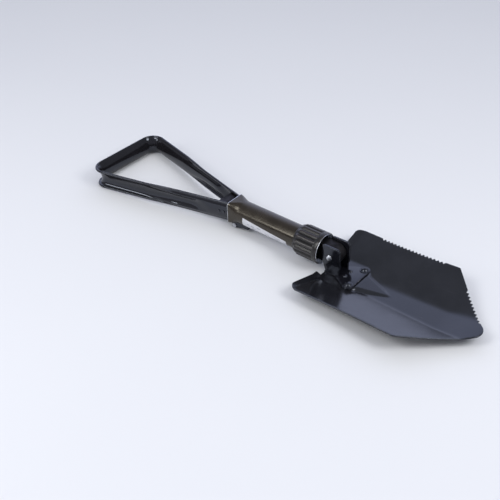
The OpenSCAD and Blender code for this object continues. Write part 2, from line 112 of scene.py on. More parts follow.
# ------------------------------------------------------------------ materials
class Graph:
    """A material's node tree, built from the shader backwards."""

    def __init__(self, name):
        self.mat = bpy.data.materials.new(name)
        self.mat.use_nodes = True
        self.tree = self.mat.node_tree
        self.tree.nodes.clear()
        self.place = self.add("ShaderNodeTexCoord").outputs["Object"]

    def add(self, kind, inputs=None, **props):
        node = self.tree.nodes.new(kind)
        for key, value in props.items():
            setattr(node, key, value)
        for key, value in (inputs or {}).items():
            self.put(node.inputs[key], value)
        return node

    def put(self, socket, value):
        if isinstance(value, bpy.types.NodeSocket):
            self.tree.links.new(value, socket)
        else:
            socket.default_value = value

    def noise(self, scale, detail=3.0, roughness=0.5, stretch=(1, 1, 1), distortion=0.0):
        place = self.add("ShaderNodeMapping", {"Vector": self.place, "Scale": stretch})
        node = self.add("ShaderNodeTexNoise", {
            "Vector": place.outputs[0], "Scale": scale, "Detail": detail,
            "Roughness": roughness, "Distortion": distortion})
        return node.outputs["Fac"]

    def span(self, value, lo, hi, out_lo=0.0, out_hi=1.0):
        node = self.add("ShaderNodeMapRange", {
            "Value": value, "From Min": lo, "From Max": hi, "To Min": out_lo, "To Max": out_hi},
            interpolation_type="SMOOTHSTEP")
        return node.outputs["Result"]

    def calc(self, operation, a, b=0.0):
        node = self.add("ShaderNodeMath", operation=operation)
        self.put(node.inputs[0], a)
        self.put(node.inputs[1], b)
        return node.outputs[0]

    def blend(self, fac, a, b):
        node = self.add("ShaderNodeMix", data_type="RGBA")
        self.put(node.inputs["Factor"], fac)
        self.put(node.inputs[6], a)
        self.put(node.inputs[7], b)
        return node.outputs[2]

    def attribute(self, name):
        return self.add("ShaderNodeAttribute", attribute_name=name).outputs["Fac"]

    def bump(self, height, distance, strength=1.0, under=None):
        inputs = {"Height": height, "Distance": distance, "Strength": strength}
        if under is not None:
            inputs["Normal"] = under
        return self.add("ShaderNodeBump", inputs).outputs["Normal"]

    def finish(self, inputs):
        shader = self.add("ShaderNodeBsdfPrincipled", inputs)
        out = self.add("ShaderNodeOutputMaterial")
        self.tree.links.new(shader.outputs[0], out.inputs["Surface"])
        return self.mat


def rgb(r, g, b):
    return (r, g, b, 1.0)


WORN_STEEL, DUST, SCRATCH = rgb(0.42, 0.42, 0.44), rgb(0.30, 0.30, 0.32), rgb(0.25, 0.25, 0.27)
COOL_SHEEN, WARM_SHEEN = rgb(0.80, 0.86, 1.0), rgb(1.0, 0.93, 0.78)


def paint(name, dark, light, rough, peel, wear, dust, sheen=COOL_SHEEN):
    """Sprayed enamel: orange peel, a faint waviness, dusty patches and edges rubbed to steel."""
    g = Graph(name)
    cloud = g.noise(38, 4, 0.6)
    fine = g.noise(420, 2, 0.5)
    waves = g.noise(60, 2, 0.4)
    scratch = g.noise(160, 3, 0.7, stretch=(0.12, 2.4, 1.0), distortion=0.6)
    specks = g.noise(2600, 1, 0.5)
    edge = g.attribute("edge")
    rub = g.span(g.calc("ADD", g.calc("MULTIPLY", edge, 0.75 * wear),
                        g.calc("MULTIPLY", g.noise(150, 4, 0.65), 0.55)), 0.86, 1.0)
    line = g.span(scratch, 0.70, 0.74)
    speck = g.span(specks, 0.76, 0.80)
    tint = g.blend(g.span(cloud, 0.3, 0.7), dark, light)
    tint = g.blend(g.calc("MULTIPLY", speck, 0.35 * dust), tint, DUST)
    tint = g.blend(g.calc("MULTIPLY", line, 0.10 * dust), tint, SCRATCH)
    tint = g.blend(rub, tint, WORN_STEEL)
    gloss = g.calc("ADD", g.span(cloud, 0.25, 0.75, rough * 0.8, rough * 1.25),
                   g.calc("MULTIPLY", speck, 0.25))
    gloss = g.calc("ADD", gloss, g.calc("MULTIPLY", line, 0.08))
    normal = g.bump(waves, 0.00035, 0.35 * peel)
    normal = g.bump(fine, 0.00008, 0.5 * peel, normal)
    return g.finish({"Base Color": tint, "Roughness": gloss, "Metallic": rub, "IOR": 1.6,
                     "Specular Tint": sheen, "Normal": normal})


def steel(name, colour, shade, rough):
    """Plated or blackened steel with turning marks and stains."""
    g = Graph(name)
    cloud = g.noise(90, 4, 0.6)
    marks = g.noise(700, 3, 0.6, stretch=(1, 1, 12))
    tint = g.blend(g.span(cloud, 0.35, 0.7), colour, shade)
    gloss = g.calc("ADD", g.span(cloud, 0.3, 0.7, rough * 0.75, rough * 1.3),
                   g.calc("MULTIPLY", marks, 0.08))
    normal = g.bump(marks, 0.00006, 0.5)
    return g.finish({"Base Color": tint, "Roughness": gloss, "Metallic": 1.0, "Normal": normal})


def moulded(name):
    """Satin moulded plastic: fine spark texture; the rib tops and the end rim are painted lighter
    as a highlight, and are a little glossier.
    """
    g = Graph(name)
    cloud = g.noise(50, 3, 0.6)
    grain = g.noise(2200, 2, 0.6)
    painted_rib_highlight = g.attribute("painted_rib_highlight")
    tint = g.blend(g.span(cloud, 0.3, 0.7), rgb(0.0045, 0.0038, 0.0034), rgb(0.008, 0.0068, 0.006))
    # painted highlight: the rib tops and the end rim are lightened towards pale grey
    tint = g.blend(g.calc("MULTIPLY", painted_rib_highlight, 0.45), tint, rgb(0.060, 0.050, 0.054))
    gloss = g.calc("SUBTRACT", g.span(cloud, 0.3, 0.7, 0.27, 0.37),
                   g.calc("MULTIPLY", painted_rib_highlight, 0.10))
    normal = g.bump(grain, 0.00005, 0.5)
    return g.finish({"Base Color": tint, "Roughness": gloss, "IOR": 1.5, "Normal": normal})


def coated_paper(name):
    """Coated paper: a white strip with faint grey bars, scuffed along its edges."""
    g = Graph(name)
    uv = g.add("ShaderNodeSeparateXYZ", {"Vector": g.add("ShaderNodeTexCoord").outputs["UV"]})
    along, across = uv.outputs[0], uv.outputs[1]
    cells = g.add("ShaderNodeTexBrick", {
        "Vector": g.add("ShaderNodeMapping", {
            "Vector": g.add("ShaderNodeTexCoord").outputs["UV"], "Scale": (9, 6, 1)}).outputs[0],
        "Color1": rgb(0, 0, 0), "Color2": rgb(1, 1, 1), "Mortar": rgb(0, 0, 0), "Scale": 1.0,
        "Mortar Size": 0.16, "Mortar Smooth": 0.1, "Brick Width": 1.0, "Row Height": 1.0},
        offset=0.37)
    inside = g.calc("MULTIPLY", g.span(along, 0.10, 0.12), g.span(along, 0.90, 0.88))
    inside = g.calc("MULTIPLY", inside, g.calc("MULTIPLY", g.span(across, 0.14, 0.18),
                                               g.span(across, 0.86, 0.82)))
    bars = g.calc("MULTIPLY", g.span(cells.outputs["Color"], 0.35, 0.6), inside)
    stain = g.noise(70, 4, 0.6)
    fibre = g.noise(1800, 3, 0.6)
    tint = g.blend(g.span(stain, 0.3, 0.75), rgb(0.70, 0.71, 0.74), rgb(0.62, 0.63, 0.67))
    tint = g.blend(g.calc("MULTIPLY", bars, 0.65), tint, rgb(0.30, 0.31, 0.36))
    tint = g.blend(g.calc("MULTIPLY", g.attribute("rim"), 0.35), tint, rgb(0.34, 0.33, 0.33))
    return g.finish({"Base Color": tint, "Roughness": g.span(stain, 0.3, 0.7, 0.42, 0.55),
                     "IOR": 1.45, "Normal": g.bump(fibre, 0.00004, 0.4)})


black = paint("gloss_black_paint", rgb(0.0092, 0.0095, 0.0118), rgb(0.0128, 0.0130, 0.0160),
              rough=0.17, peel=0.5, wear=0.6, dust=0.4)
gloss = paint("high_gloss_black_paint", rgb(0.0095, 0.0090, 0.0105), rgb(0.0130, 0.0122, 0.0145),
              rough=0.07, peel=0.22, wear=0.35, dust=0.2)
black_small = paint("black_paint_small_parts", rgb(0.0060, 0.0062, 0.0090),
                    rgb(0.010, 0.010, 0.014), rough=0.14, peel=0.2, wear=0.35, dust=0.2)
brown = paint("brown_black_paint", rgb(0.012, 0.0085, 0.0065), rgb(0.018, 0.013, 0.010),
              rough=0.24, peel=0.6, wear=0.6, dust=0.3, sheen=WARM_SHEEN)
black_bracket = paint("black_paint_bracket", rgb(0.0060, 0.0062, 0.0090),
                      rgb(0.010, 0.010, 0.014), rough=0.15, peel=0.2, wear=0.8, dust=0.3)
plastic = moulded("collar_plastic")
bright = steel("bright_zinc", rgb(0.72, 0.74, 0.78), rgb(0.55, 0.57, 0.62), 0.24)
dark = steel("blackened_steel", rgb(0.10, 0.10, 0.115), rgb(0.06, 0.06, 0.07), 0.38)
# darker steel, standing in for painted shade on the recessed neck hinge and the hinge head
painted_shade_steel = steel("steel_painted_shade", rgb(0.040, 0.038, 0.042), rgb(0.025, 0.024, 0.027), 0.50)
paper = coated_paper("label_paper")


# ------------------------------------------------------------------ mesh helpers
def mesh_object(name, verts, faces, matrix, material, angle=32.0, values=None):
    """A smooth-shaded piece from points in millimetres, with its edges sharp above an angle."""
    mesh = bpy.data.meshes.new(name)
    mesh.from_pydata([tuple(v) for v in verts], [], [tuple(f) for f in faces])
    for key, data in (values or {}).items():
        mesh.attributes.new(key, "FLOAT", "POINT").data.foreach_set(
            "value", np.asarray(data, np.float32))
    bm = bmesh.new()
    bm.from_mesh(mesh)
    bmesh.ops.recalc_face_normals(bm, faces=bm.faces)
    bm.to_mesh(mesh)
    bm.free()
    mark_edges(mesh)
    mesh.transform(matrix)
    mesh.polygons.foreach_set("use_smooth", [True] * len(mesh.polygons))
    mesh.set_sharp_from_angle(angle=math.radians(angle))
    mesh.materials.append(material)
    obj = bpy.data.objects.new(name, mesh)
    scene.collection.objects.link(obj)
    return obj


def mark_edges(mesh, full=1.3):
    """Stores how sharply the surface curves outwards at each point, from 0 to 1, as "edge"."""
    bm = bmesh.new()
    bm.from_mesh(mesh)
    values = []
    for v in bm.verts:
        total, count = 0.0, 0
        for e in v.link_edges:
            if len(e.link_faces) == 2:
                total = max(total, e.calc_face_angle_signed(0.0) / max(
                    0.25, min(f.calc_area() ** 0.5 for f in e.link_faces)))
                count += 1
        values.append(clamp01(total / full) if count else 0.0)
    bm.free()
    if "edge" not in mesh.attributes:
        mesh.attributes.new("edge", "FLOAT", "POINT")
    mesh.attributes["edge"].data.foreach_set("value", np.asarray(values, np.float32))


def finish_piece(obj, body, slot, *nodes):
    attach(obj, body)
    if nodes:
        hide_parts(*nodes)
    return obj


def tube_faces(rings, points, closed_path=False):
    """Quads between rings of the same number of points."""
    faces = []
    for i in range(rings if closed_path else rings - 1):
        for j in range(points):
            a, b = i * points + j, i * points + (j + 1) % points
            c, d = (i + 1) % rings * points + j, (i + 1) % rings * points + (j + 1) % points
            faces.append((a, b, d, c))
    return faces


def lathe(profile, count=72, axis="z"):
    """A turned solid: profile is (radius, height) from the axis to the axis, or a closed loop."""
    open_ends = profile[0][0] == 0 and profile[-1][0] == 0
    body = profile[1:-1] if open_ends else profile
    verts = [(r * math.cos(2 * math.pi * k / count), r * math.sin(2 * math.pi * k / count), h)
             for r, h in body for k in range(count)]
    faces = tube_faces(len(body), count, closed_path=not open_ends)
    if open_ends:
        first, last = len(verts), len(verts) + 1
        verts += [(0, 0, profile[0][1]), (0, 0, profile[-1][1])]
        end = (len(body) - 1) * count
        faces += [(first, (k + 1) % count, k) for k in range(count)]
        faces += [(last, end + k, end + (k + 1) % count) for k in range(count)]
    if axis == "y":
        verts = [(x, z, -y) for x, y, z in verts]
    return verts, faces


def joined(*parts):
    """Several (verts, faces) as one, each moved by its own offset: parts are (part, offset)."""
    verts, faces = [], []
    for (pv, pf), (dx, dy, dz) in parts:
        start = len(verts)
        verts += [(x + dx, y + dy, z + dz) for x, y, z in pv]
        faces += [tuple(start + i for i in f) for f in pf]
    return verts, faces


def arc(cx, cy, r, a0, a1, n):
    return [(cx + r * math.cos(math.radians(lerp(a0, a1, i / n))),
             cy + r * math.sin(math.radians(lerp(a0, a1, i / n)))) for i in range(n + 1)]


def unit2(x, y):
    d = math.hypot(x, y)
    return x / d, y / d


def rounded(a, b, c, r, n=8):
    """Points of the arc of radius r that rounds the corner b between a and c."""
    ux, uy = unit2(a[0] - b[0], a[1] - b[1])
    vx, vy = unit2(c[0] - b[0], c[1] - b[1])
    half = math.acos(max(-1, min(1, ux * vx + uy * vy))) / 2
    mx, my = unit2(ux + vx, uy + vy)
    cx, cy = b[0] + mx * r / math.sin(half), b[1] + my * r / math.sin(half)
    fx, fy = b[0] + ux * r / math.tan(half) - cx, b[1] + uy * r / math.tan(half) - cy
    turn = 1 if uy * vx - ux * vy > 0 else -1
    start = math.atan2(fy, fx)
    sweep = math.pi - 2 * half
    return [(cx + r * math.cos(start + turn * sweep * i / n),
             cy + r * math.sin(start + turn * sweep * i / n)) for i in range(n + 1)]


def round_all(points, n=6):
    out = []
    for i, (x, y, r) in enumerate(points):
        a, c = points[i - 1], points[(i + 1) % len(points)]
        out += [(x, y)] if r == 0 else rounded(a, (x, y), c, r, n)
    return out


def plate(outline, lo, hi, bevel=0.5, steps=3):
    """A flat plate with rounded edges: outline in two axes, lo to hi in the third."""
    loops, heights = [], []
    for k in range(steps + 1):
        a = math.pi / 2 * k / steps
        loops.append(inset(outline, bevel * (1 - math.sin(a))))
        heights.append(lo + bevel * (1 - math.cos(a)))
    for k in range(steps, -1, -1):
        a = math.pi / 2 * k / steps
        loops.append(inset(outline, bevel * (1 - math.sin(a))))
        heights.append(hi - bevel * (1 - math.cos(a)))
    n = len(outline)
    verts = [(x, y, h) for loop, h in zip(loops, heights) for x, y in loop]
    faces = tube_faces(len(loops), n)
    faces += [tuple(range(n - 1, -1, -1)), tuple(len(verts) - n + i for i in range(n))]
    return verts, faces


def inset(points, distance):
    """An anticlockwise outline moved inwards along its corners' bisectors."""
    out = []
    n = len(points)
    for i, (x, y) in enumerate(points):
        ax, ay = unit2(x - points[i - 1][0], y - points[i - 1][1])
        bx, by = unit2(points[(i + 1) % n][0] - x, points[(i + 1) % n][1] - y)
        nx, ny = -(ay + by), ax + bx
        length = math.hypot(nx, ny) or 1.0
        nx, ny = nx / length, ny / length
        scale = max(0.5, nx * -ay + ny * ax)
        out.append((x + nx * distance / scale, y + ny * distance / scale))
    return out


# ------------------------------------------------------------------ blade
def band(x):
    """Half width of the blade's middle band."""
    return BAND_START + BAND_GROWTH * max(0, x) / TIP_X


def soft_above(d, width):
    """max(0, d) with its corner rounded over a width."""
    if d <= -width:
        return 0.0
    if d >= width:
        return d
    return (d + width) ** 2 / (4 * width)


# the raised seat under the bracket, and the V in front of it, as half widths along the blade
SEAT = ((-40.0, 27.0), (34.0, 27.0), (43.0, 15.5), (84.0, 0.0))


def inside_seat(x, y):
    """Distance in from the raised seat's outline, negative outside it."""
    best = -1e9
    for (xa, ya), (xb, yb) in zip(SEAT, SEAT[1:]):
        dx, dy = xb - xa, yb - ya
        k = clamp01(((x - xa) * dx + (abs(y) - ya) * dy) / (dx * dx + dy * dy))
        d = math.hypot(x - xa - dx * k, abs(y) - ya - dy * k)
        side = dx * (abs(y) - ya) - dy * (x - xa)
        value = -d if side > 0 else d
        if abs(value) < abs(best) - 1e-9:
            best = value
    return best


def blade_top(x, y):
    """Height of the blade's upper face, with the pressed seat and the V in front of it."""
    b = band(x)
    low = BELLY * (1 - smooth(x, 150, TIP_X))
    out = soft_above(abs(y) - b, 2.5 if y < 0 else 6.0) / (BLADE_W / 2 - b)
    dish = -low + out * (SIDE_RISE + low)
    seat = -BELLY * clamp01((x - 41) / (SEAT[-1][0] - 41)) + 0.297 * soft_above(abs(y) - 26.5, 3)
    reach = lerp(2.6, 1.2, smooth(x, 34, 80))
    z = lerp(dish, seat, smooth(inside_seat(x, y), -reach, reach * 0.6))
    lift = STEP_RISE * (max(0.0, STEP_X + STEP_W - x) / STEP_W) ** 1.5
    return -BLADE_DROP + z + lift


def side_point(k, side):
    return (STEP_X + (SHOULDER_X - STEP_X) * k,
            side * (lerp(BLADE_W, SHOULDER_W, k) / 2 - 4 * WAIST * k * (1 - k)))


def tooth(u):
    """How deep a saw's edge is cut, from 0 at a tooth's tip to 1 in the gullet."""
    return 0.5 - 0.5 * math.asin(0.97 * math.cos(2 * math.pi * u)) / math.asin(0.97)


def toothed(a, b, inward, steps=8):
    """Points of a saw edge from a to b, cut to the given side."""
    length = math.dist(a, b)
    count = round(length / TOOTH_PITCH)
    points = []
    for i in range(count * steps):
        u = i / steps
        cut = TOOTH_DEPTH * tooth(u)
        k = i / (count * steps)
        points.append((lerp(a[0], b[0], k) + inward[0] * cut,
                       lerp(a[1], b[1], k) + inward[1] * cut))
    return points


def blade_outline():
    """The blade from above, anticlockwise, with its saw teeth on the far side and point."""
    step, wide = BLADE_W / 2, SHOULDER_W / 2
    half = math.atan2(wide, TIP_X - SHOULDER_X + 0.4 * TIP_R)
    tip = (TIP_X + TIP_R * (1 / math.sin(half) - 1), 0.0)
    near, wing = (SHOULDER_X, -wide), (SHOULDER_X, wide)
    saw_from, saw_to = [(lerp(wing[0], tip[0], k), lerp(wing[1], tip[1], k))
                        for k in (POINT_SAW_FROM, POINT_SAW_TO)]
    ux, uy = unit2(saw_from[0] - saw_to[0], saw_from[1] - saw_to[1])
    count = round((SIDE_SAW_TO - SIDE_SAW_FROM) * (SHOULDER_X - STEP_X) / TOOTH_PITCH)
    side = []
    for i in range(count * 8):
        x, y = side_point(lerp(SIDE_SAW_TO, SIDE_SAW_FROM, i / (count * 8)), 1)
        side.append((x, y - TOOTH_DEPTH * tooth(i / 8)))
    notch, step_near, step_far = (NOTCH_X, NOTCH_Y), (STEP_X, -step), (STEP_X, step)
    points = (
        rounded((NOTCH_X, -NOTCH_Y), (STEP_X, -NOTCH_Y), step_near, CORNER_NOTCH_R, 5)
        + rounded((STEP_X, -NOTCH_Y), step_near, side_point(0.25, -1), CORNER_STEP_R, 14)
        + [side_point(k, -1) for k in (0.2, 0.3, 0.4, 0.5, 0.6, 0.7, 0.8)]
        + rounded(side_point(0.75, -1), near, tip, CORNER_NEAR_R, 12)
        + rounded(near, tip, wing, TIP_R, 20)
        + toothed(saw_to, saw_from, (-uy, ux))
        + [saw_from] + rounded(tip, wing, side_point(SIDE_SAW_TO, 1), CORNER_FAR_R, 8)
        + side
        + [side_point(SIDE_SAW_FROM, 1)]
        + rounded(side_point(0.2, 1), step_far, (STEP_X, NOTCH_Y), CORNER_STEP_R, 14)
        + rounded(step_far, (STEP_X, NOTCH_Y), notch, CORNER_NOTCH_R, 5)
        + [notch, (NOTCH_X, -NOTCH_Y)])
    return resample(points, 1.5)


def resample(points, longest):
    """Splits an outline's long sides."""
    out = []
    for i, p in enumerate(points):
        q = points[(i + 1) % len(points)]
        n = max(1, math.ceil(math.dist(p, q) / longest))
        if math.dist(p, q) < 0.05:
            continue
        out += [(lerp(p[0], q[0], k / n), lerp(p[1], q[1], k / n)) for k in range(n)]
    return out


def grid_inside(loop, pitch, clear):
    """Points of a staggered grid inside a loop, kept clear of it."""
    pts = np.array(loop)
    nxt = np.roll(pts, -1, 0)
    lo, hi = pts.min(0), pts.max(0)
    rows = []
    ys = np.arange(lo[1], hi[1], pitch * 0.866)
    for r, y in enumerate(ys):
        xs = np.arange(lo[0] + (r % 2) * pitch / 2, hi[0], pitch)
        rows.append(np.stack([xs, np.full_like(xs, y)], 1))
    grid = np.concatenate(rows)
    d = nxt - pts
    keep = []
    for p in grid:
        rel = p - pts
        t = np.clip((rel * d).sum(1) / (d * d).sum(1), 0, 1)
        near = np.sqrt(((rel - d * t[:, None]) ** 2).sum(1)).min()
        cross = ((pts[:, 1] > p[1]) != (nxt[:, 1] > p[1])) & (
            p[0] < d[:, 0] * (p[1] - pts[:, 1]) / np.where(d[:, 1] == 0, 1e-9, d[:, 1]) + pts[:, 0])
        if cross.sum() % 2 and near > clear:
            keep.append((float(p[0]), float(p[1])))
    return keep


def build_blade():
    outline = blade_outline()
    rim = [(0.60, 0.0), (0.34, 0.07), (0.12, 0.26), (0.0, 0.62), (0.0, 1.18), (0.12, 1.54),
           (0.34, 1.73), (0.60, 1.80)]
    n = len(outline)
    inner = inset(outline, rim[0][0])
    grid = grid_inside(inner, 1.9, 0.8)
    flat = [Vector(p) for p in inner + grid]
    result = delaunay_2d_cdt(flat, [(i, (i + 1) % n) for i in range(n)], [], 1, 1e-6)
    points = [(v.x, v.y) for v in result[0]]
    triangles = [tuple(f) for f in result[2]]
    count = len(points)
    verts = [(x, y, blade_top(x, y)) for x, y in points]
    verts += [(x, y, z - BLADE_T) for x, y, z in verts]
    faces = triangles + [tuple(count + i for i in reversed(f)) for f in triangles]
    loops = [list(range(n))]
    for off, drop in rim[1:-1]:
        loop = inset(outline, off) if off else outline
        start = len(verts)
        verts += [(x, y, blade_top(*inner[i]) - drop) for i, (x, y) in enumerate(loop)]
        loops.append(list(range(start, start + n)))
    loops.append(list(range(count, count + n)))
    for a, b in zip(loops, loops[1:]):
        faces += [(a[i], b[i], b[(i + 1) % n], a[(i + 1) % n]) for i in range(n)]
    obj = mesh_object("blade_sheet", verts, faces, BLADE, black, angle=40)
    return finish_piece(obj, "blade", "black_paint", "blade_plate")


build_blade()


# ------------------------------------------------------------------ bracket on the blade
def build_bracket():
    base = (
        [(NOTCH_X, -EAR_SPAN / 2, 0.8), (8, -EAR_SPAN / 2, 6)]
        + [(x, y, 0) for x, y in arc(RIVET_X, -RIVET_Y, LOBE_R, 215, 350, 18)]
        + [(PLATE_END + 0.2, -RIVET_Y + 6, 4), (PLATE_END + 0.2, RIVET_Y - 6, 4)]
        + [(x, y, 0) for x, y in arc(RIVET_X, RIVET_Y, LOBE_R, 10, 145, 18)]
        + [(8, EAR_SPAN / 2, 6), (NOTCH_X, EAR_SPAN / 2, 0.8)])
    base = plate(round_all(base, 6), -BLADE_DROP, -BLADE_DROP + PLATE_T, 0.55)
    low = -BLADE_DROP + PLATE_T - 0.6
    ear = plate(round_all([(NOTCH_X + 2.3, low, 0), (EAR_FOOT, low, 0), (EAR_FOOT, -14.8, 1),
                           (EAR_FRONT, -13, 1), (EAR_FRONT, EAR_UP, 5.5), (-EAR_BACK, EAR_UP, 2.5),
                           (-EAR_BACK, -8, 4)], 8), -EAR_T / 2, EAR_T / 2, 0.6)
    ear = ([(x, -h, z) for x, z, h in ear[0]], ear[1])
    out = (EAR_SPAN - EAR_T) / 2
    verts, faces = joined((base, (0, 0, 0)), (ear, (0, out, 0)), (ear, (0, -out, 0)))
    obj = mesh_object("blade_bracket_formed", verts, faces, BLADE, black_bracket)
    return finish_piece(obj, "blade", "black_paint", "blade_bracket")


def rivet_profile(head_r, head_h, shank_r, depth):
    """A domed rivet through sheets of this depth, with its closed end below them."""
    ball = (head_r ** 2 + head_h ** 2) / (2 * head_h)
    top = [(0, head_h)]
    for k in range(1, 15):
        x = head_r * k / 15
        top.append((x, head_h - ball + math.sqrt(ball * ball - x * x)))
    return top + [(head_r, 0.22), (head_r + 0.02, 0.1), (head_r - 0.1, 0.0), (shank_r, 0.0),
                  (shank_r, -depth), (shank_r * 1.45, -depth), (shank_r * 1.5, -depth - 0.15),
                  (shank_r * 1.5, -depth - 0.6), (shank_r * 1.35, -depth - 0.8), (0, -depth - 0.8)]


def build_rivets():
    seat = -BLADE_DROP + PLATE_T
    big = lathe(rivet_profile(4.6, 2.6, 2.6, PLATE_T + WASHER_T + BLADE_T + BACKING_T))
    small = lathe(rivet_profile(3.0, 1.7, 1.7, PLATE_T + BLADE_T + BACKING_T))
    washer = lathe([(2.6, 0), (6.0, 0), (6.22, 0.08), (6.3, 0.3), (6.28, 0.6), (6.1, 0.78),
                    (5.6, WASHER_T), (2.6, WASHER_T)])
    for name, part, x, y, z, node in (
            ("main_rivet_heads", big, RIVET_X, RIVET_Y, seat + WASHER_T, "main_rivets"),
            ("rivet_washer_rings", washer, RIVET_X, RIVET_Y, seat, "rivet_washers"),
            ("small_rivet_heads", small, SMALL_X, SMALL_Y, seat, "small_rivets")):
        verts, faces = joined((part, (x, y, z)), (part, (x, -y, z)))
        obj = mesh_object(name, verts, faces, BLADE, black_small, angle=50)
        finish_piece(obj, "blade", "black_paint", node)


def build_blade_pin():
    face, head = EAR_SPAN / 2, PIN_HEAD
    end = [(0, face + head), (1.0, face + head - 0.04), (2.2, face + head - 0.16),
           (3.2, face + head - 0.5), (3.9, face + head - 1.0), (4.2, face + 0.35),
           (4.1, face + 0.05), (3.0, face)]
    verts, faces = lathe(end + [(r, -h) for r, h in reversed(end)], axis="y")
    obj = mesh_object("blade_pin_turned", verts, faces, SHAFT @ Matrix.Translation((PIN_X, 0, 0)),
                      bright, angle=50)
    return finish_piece(obj, "blade", "bright_steel", "blade_pin")


build_bracket()
build_rivets()
build_blade_pin()


# ------------------------------------------------------------------ grip
def outward_line(d, s):
    """The section's middle line where it opens outwards, as (depth in from the rim, height)."""
    h, full = CHANNEL_H / 2 - RIM_R, d - CHANNEL_T / 2
    upper = 0.6
    if s < upper:
        a = math.radians(90 * (1 - s / upper))
        return (RIM_R + (full - RIM_R) * abs(math.cos(a)) ** SLANT,
                LOW_Z + (h - LOW_Z) * abs(math.sin(a)) ** SLANT)
    end = math.radians(80)
    b = end * (s - upper) / (1 - upper)
    return (full - (full - 3) / (1 - math.cos(end)) * (1 - math.cos(b)),
            LOW_Z - (h + LOW_Z) * math.sin(b) / math.sin(end))


def inward_line(s):
    """The same near the neck, where it is a shallow gutter that opens inwards."""
    h, end = CHANNEL_H / 2 - RIM_R, math.radians(60)
    a = end * (1 - 2 * s)
    return (CHANNEL_T / 2 + NECK_LIP * (1 - math.cos(a)) / (1 - math.cos(end)),
            h * math.sin(a) / math.sin(end))


def channel_section(k, d, n=44):
    """The closed outline of the curved sheet, with a rolled rim at both ends."""
    line = []
    for i in range(n + 1):
        a, b = outward_line(d, i / n), inward_line(i / n)
        line.append((lerp(a[0], b[0], k), lerp(a[1], b[1], k)))
    left, right = [], []
    for i, (x, y) in enumerate(line):
        a, b = line[max(0, i - 1)], line[min(n, i + 1)]
        ux, uy = unit2(b[0] - a[0], b[1] - a[1])
        edge = min(math.dist(line[i], line[0]), math.dist(line[i], line[n])) / RIM_R
        t = CHANNEL_T / 2
        if edge < 1:
            t = max(t, RIM_R * math.sqrt(1 - edge * edge))
        left.append((x - uy * t, y + ux * t))
        right.append((x + uy * t, y - ux * t))
    caps = []
    for end, other in ((n, n - 1), (0, 1)):
        ux, uy = unit2(line[end][0] - line[other][0], line[end][1] - line[other][1])
        caps.append([(line[end][0] + RIM_R * (ux * math.sin(q) - uy * math.cos(q)),
                      line[end][1] + RIM_R * (uy * math.sin(q) + ux * math.cos(q)))
                     for q in (math.pi * m / 9 for m in range(1, 9))])
    return left + caps[0] + right[::-1] + caps[1]


def build_grip():
    """The channel swept from one leg's neck end, round the bar, to the other's."""
    corner = (CORNER_R, GRIP_W / 2 - CORNER_R)
    run = (GRIP_L - corner[0], corner[1] - NECK_W / 2)
    leg = math.atan2(run[1], run[0]) + math.asin(CORNER_R / math.hypot(*run))
    start = (corner[0] + CORNER_R * math.sin(leg), corner[1] + CORNER_R * math.cos(leg))
    neck = (GRIP_L, NECK_W / 2)
    out = math.pi / 2 - leg
    path = []
    for i in range(60):
        k = i / 60
        x, y = lerp(neck[0], start[0], k), lerp(neck[1], start[1], k)
        inward = 1 - smooth(GRIP_L - x, GRIP_L - TURN_END, GRIP_L - TURN_START)
        path.append((x, y, out, lerp(NECK_D, CHANNEL_D, k), inward, 0.0))
    for i in range(37):
        a = lerp(out, math.pi, i / 36)
        path.append((corner[0] + CORNER_R * math.cos(a), corner[1] + CORNER_R * math.sin(a), a,
                     CHANNEL_D, 0.0, math.sin(math.pi * i / 36)))
    for i in range(1, 15):
        path.append((0.0, corner[1] * (1 - i / 14), math.pi, CHANNEL_D, 0.0, 0.0))
    path = path + [(x, -y, -a, d, k, w) for x, y, a, d, k, w in reversed(path[:-1])]
    verts = []
    for i, (x, y, a, d, inward, bent) in enumerate(path):
        section = channel_section(inward, d)
        # the long hollow along each leg's outer side, which runs out before the neck
        hollow = HOLLOW * inward * (1 - smooth(x, HOLLOW_FROM, HOLLOW_TO))
        for q, z in section:
            q += hollow * max(0.0, 1 - (z / HOLLOW_HALF) ** 2)
            # the pressed sheet puckers a little inside the bend
            fold = bent ** 2 * smooth(q, d - 4.0, d - 0.5) * smooth(abs(z + 6), 1.0, 5.0)
            q += 0.30 * fold * math.sin(i * 1.35)
            verts.append((x - q * math.cos(a), y - q * math.sin(a), z))
    n = len(section)
    faces = tube_faces(len(path), n)
    faces += [tuple(range(n - 1, -1, -1)), tuple(len(verts) - n + i for i in range(n))]
    obj = mesh_object("grip_channel", verts, faces, SHAFT, gloss, angle=60)
    return finish_piece(obj, "handle", "black_paint", "handle_frame")


build_grip()


# ------------------------------------------------------------------ tube
def square_ring(half, corner, count):
    """A rounded square's points by angle, starting from +y towards +z."""
    ring = []
    flat = half - corner
    for k in range(count):
        a = 2 * math.pi * k / count
        c, s = math.cos(a), math.sin(a)
        reach = half / max(abs(c), abs(s))
        if min(abs(c), abs(s)) * reach > flat and corner > 0:
            # on the corner's arc: solve |p - centre| = corner along the ray
            cx, cy = math.copysign(flat, c), math.copysign(flat, s)
            b = c * cx + s * cy
            reach = b + math.sqrt(max(0.0, b * b - (cx * cx + cy * cy - corner * corner)))
        ring.append((c * reach, s * reach))
    return ring


